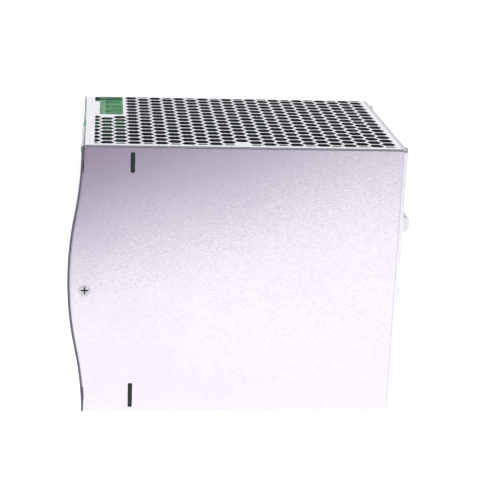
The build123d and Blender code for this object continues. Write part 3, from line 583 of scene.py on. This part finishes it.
def spring_points(low, high, centre, radius, wire, turns, steps=24):
    """A helix with one closed turn at each end."""
    points = []
    for k in range(turns * steps + 1):
        angle = 2 * math.pi * k / steps
        share = k / (turns * steps)
        closed = 1.0 / turns
        rise = min(max((share - closed) / (1 - 2 * closed), 0.0), 1.0)
        lead = wire * (min(share, closed) + max(share - 1 + closed, 0.0)) / closed
        z = low + lead + rise * (high - low - 2 * wire)
        points.append((centre[0] + radius * math.cos(angle), centre[1] + radius * math.sin(angle), z))
    return points


spring_low, spring_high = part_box("din_spring")
wire_radius = 0.25 * MM
spring_middle = ((spring_low[0] + spring_high[0]) / 2, (spring_low[1] + spring_high[1]) / 2)
coil_radius = (spring_high[0] - spring_low[0]) / 2 - wire_radius
line = spring_points(spring_low[2] + wire_radius, spring_high[2] - wire_radius, spring_middle,
                     coil_radius, 2 * wire_radius, turns=8)
spring = show(curve_mesh(line, wire_radius, "latch_spring"), "latch_spring", "din_spring",
              spring_steel)
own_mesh(spring)

# %% [markdown]
# ## Terminals and plug
#
# The green blocks hold plated screws and nickel clamps. The plug's orange buttons stand just
# proud of its face. The green mouldings have a tool radius of about 0.2 mm, and smaller parts less.

# %% Terminals
for node in ("output_terminal_block", "input_terminal_block", "signal_header", "signal_plug"):
    finish_part(node, green_polyamide, 0.18)
for node in sorted(BODY_OF):
    if "_screw_" in node:
        finish_part(node, zinc_plating, 0.1)
    if "_clamp_" in node:
        finish_part(node, clamp_nickel, 0.12)
    if node.startswith("plug_lever"):
        finish_part(node, orange_polyamide, 0.1)
finish_part("terminal_contacts", tinned_copper, 0.08)
finish_part("signal_header_pins", tinned_copper, 0.05)
finish_part("trimmer_body", blue_polyester, 0.15)
finish_part("trimmer_shaft", white_polyamide, 0.1)
finish_part("status_lamp", lens_plastic, 0.08)
print("terminals finished")

# %% [markdown]
# ## Boards and what stands on them
#
# Through the vents one looks down on the electronics, so every part has its own finish. Boards are
# sawn and routed, so their edges stay sharper than those of a moulding, and show the dull epoxy.

# %% Electronics
BOARD_EDGE = 1.7 * MM        # just over the thickness of a board


def sawn_edge(face):
    """True for a face that is no wider than a board is thick, along an axis that it spans."""
    corners = [board.data.vertices[index].co for index in face.vertices]
    for k in range(3):
        spans = max(abs(corner[k] - corners[0][k]) for corner in corners)
        if abs(face.normal[k]) < 0.5 and spans < BOARD_EDGE:
            return True
    return False


for node in ("main_board", "output_terminal_board", "input_terminal_board", "control_board"):
    board = finish_part(node, solder_resist, 0.06, 1)
    print(node, second_finish(board, sawn_board_edge, sawn_edge), "edge faces")
finish_part("insulation_sheet", clear_film, 0.03, 1)
finish_part("transformer_core", ferrite_grey, 0.4)
finish_part("pfc_choke_core", ferrite_grey, 0.4)
finish_part("line_filter_core", ferrite_grey, 0.6)
finish_part("transformer_coil", green_tape, 0.4)
finish_part("pfc_choke_coil", yellow_tape, 0.4)
finish_part("film_capacitors", yellow_film_box, 0.3)
finish_part("fuse", glazed_tube, 0.15)
finish_part("inrush_relay", black_relay_case, 0.3)
finish_part("primary_heatsink", heatsink_aluminium, 0.15)
finish_part("secondary_heatsink", heatsink_aluminium, 0.15)
finish_part("power_semiconductors", black_epoxy, 0.2)
finish_part("output_busbars", tinned_copper, 0.1)
finish_part("line_filter_windings", copper_enamel, 0.4)
for node in ("bulk_capacitors", "output_capacitors"):
    cans = finish_part(node, sleeve_pvc, 0.5, 3)
    print(node, second_finish(cans, can_aluminium, lambda face: face.normal.x > 0.9), "bare ends")
print("electronics finished")

# %% [markdown]
# ## Studio
#
# A product like this is shot in a white tent on a white table: light comes from all round, and
# the background burns out to white. The metal mirrors the table. A dark card beside the unit
# gives the side panel its gradient, as a studio flag does. A dim band in the tent, above its
# walls, keeps the inside of the vented box dark, and the paler roof over it keeps the steel cover
# bright when it is seen from above.

# %% Table
GLOW = 0.74


def pale_floor():
    """White card, lit from below so that it burns out, as a light table does."""
    material = new_material("white_table_card", Roughness=0.8)
    shader = shader_of(material)
    shader.inputs["Base Color"].default_value = linear("F4F4F4")
    shader.inputs["Emission Color"].default_value = linear("FFFFFF")
    shader.inputs["Emission Strength"].default_value = GLOW
    return material


def flat_square(name, corners, material):
    mesh = bpy.data.meshes.new(name)
    mesh.from_pydata(corners, [], [(0, 1, 2, 3)])
    mesh.materials.append(material)
    square = bpy.data.objects.new(name, mesh)
    bpy.context.collection.objects.link(square)
    return square


REACH = 3.0
floor_level = min(0.0, cad_box[0][2])
FLOOR_CLEAR = 0.05 * MM      # keeps the table's face apart from the faces that rest on it
table_level = floor_level - FLOOR_CLEAR
flat_square("floor", [(-REACH, -REACH, table_level), (REACH, -REACH, table_level),
                      (REACH, REACH, table_level), (-REACH, REACH, table_level)], pale_floor())
print("table at", round(table_level / MM, 2), "mm")

# %% [markdown]
# The table glows, and its light would shine up through the vents of the bottom cover, where a real
# unit keeps its own shade. A black pad, just smaller than the case, lies under it as painted shade:
# a dark sheet that stands in for the unit's shadow on the table. The moulding function makes it,
# with a coarser grain and quite dull.

# %% Pad
PAD_INSET, PAD_DOWN = 1.5 * MM, 0.02 * MM
shade_pad_finish = moulded("black_painted_shade_pad", "0C0C0D", "050506", 0.95, 0.6, 0.1)
case_low, case_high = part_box("bottom_cover")
left, right = case_low[0] + PAD_INSET, case_high[0] - PAD_INSET
near, far = case_low[1] + PAD_INSET, case_high[1] - PAD_INSET
pad_level = floor_level - PAD_DOWN
flat_square("pad", [(left, near, pad_level), (right, near, pad_level),
                    (right, far, pad_level), (left, far, pad_level)], shade_pad_finish)
print("pad width", round((right - left) / MM, 1), "mm")

# %% [markdown]
# The flag is a dark violet-grey card, 4 mm above the table beside the unit, and the side panel
# mirrors it. Its cover grows outwards and falls towards the back, from nothing to one, so that its
# reflection has no hard line. It casts no shadow, and the camera itself doesn't see it.

# %% Flag
PER_METRE_OUT, PER_METRE_BACK, EDGE_OF_CARD = 2.95, -3.0, 0.76


def shading_flag():
    """A violet-grey card whose edge fades out to clear."""
    material = new_material("dark_flag_card")
    place = add(material, "ShaderNodeTexCoord").outputs["Object"]
    apart = add(material, "ShaderNodeSeparateXYZ", {"Vector": place})
    outward = add(material, "ShaderNodeMath",
                  {0: apart.outputs["X"], 1: PER_METRE_OUT}, operation="MULTIPLY")
    sideways = add(material, "ShaderNodeMath",
                   {0: apart.outputs["Y"], 1: PER_METRE_BACK}, operation="MULTIPLY")
    both = add(material, "ShaderNodeMath",
               {0: outward.outputs[0], 1: sideways.outputs[0]}, operation="ADD")
    cover = add(material, "ShaderNodeMath",
                {0: both.outputs[0], 1: EDGE_OF_CARD}, operation="SUBTRACT", use_clamp=True)
    clear = add(material, "ShaderNodeBsdfTransparent")
    card = add(material, "ShaderNodeEmission", {"Color": linear("7A6A86"), "Strength": 1.0})
    faded = add(material, "ShaderNodeMixShader",
                {0: cover.outputs[0], 1: clear.outputs[0], 2: card.outputs[0]})
    output = material.node_tree.nodes["Material Output"]
    material.node_tree.links.new(faded.outputs[0], output.inputs["Surface"])
    return material


# In metres: how high it lies, where it starts and ends along X, and half its length along Y.
FLAG_UP, FLAG_NEAR, FLAG_FAR, FLAG_HALF = 0.004, 0.20, 1.40, 0.90
flag = flat_square("flag", [(FLAG_NEAR, -FLAG_HALF, FLAG_UP), (FLAG_FAR, -FLAG_HALF, FLAG_UP),
                            (FLAG_FAR, FLAG_HALF, FLAG_UP), (FLAG_NEAR, FLAG_HALF, FLAG_UP)],
                   shading_flag())
flag.visible_camera = False
flag.visible_shadow = False
print("flag starts", FLAG_NEAR, "m out")

# %% Tent
# White walls, a dim band and a grey roof, by how steeply one looks up: 0 is level, 1 straight up.
TENT_STOPS = ((0.36, "FFFFFF"), (0.50, "26262A"), (0.66, "26262A"), (0.80, "9A9AA2"))
tent = bpy.data.worlds.new("tent")
bpy.context.scene.world = tent
tent.use_nodes = True
sky = tent.node_tree.nodes["Background"]
where = add(tent, "ShaderNodeTexCoord")
split = add(tent, "ShaderNodeSeparateXYZ", {"Vector": where.outputs["Generated"]})
ramp = add(tent, "ShaderNodeValToRGB", {"Fac": split.outputs["Z"]})
tent.node_tree.links.new(ramp.outputs["Color"], sky.inputs["Color"])
for position, _ in TENT_STOPS[2:]:      # a new ramp has two stops already
    ramp.color_ramp.elements.new(position)
for stop, (position, colour) in zip(ramp.color_ramp.elements, TENT_STOPS):
    stop.position = position
    stop.color = linear(colour)
sky.inputs["Strength"].default_value = 1.0
print("tent stops", len(ramp.color_ramp.elements))

# %% [markdown]
# Two soft boxes round off the light: a key light over the front right corner, where the side panel
# and the front meet, and a weak one behind on the left, so that no side goes black.

# %% Soft lights
def soft_light(name, place, target, size, power):
    """A square soft box that faces a target."""
    data = bpy.data.lights.new(name, "AREA")
    data.size = size
    data.energy = power
    lamp = bpy.data.objects.new(name, data)
    bpy.context.collection.objects.link(lamp)
    lamp.location = place
    lamp.rotation_euler = (Vector(target) - Vector(place)).to_track_quat("-Z", "Y").to_euler()


MID_CASE = (0, 0, 0.06)
soft_light("key_light", (0.9, -0.9, 1.2), MID_CASE, 0.8, 5.0)
soft_light("back_light", (-0.9, 0.8, 1.0), MID_CASE, 0.8, 1.5)
bpy.context.scene.view_settings.view_transform = "Standard"
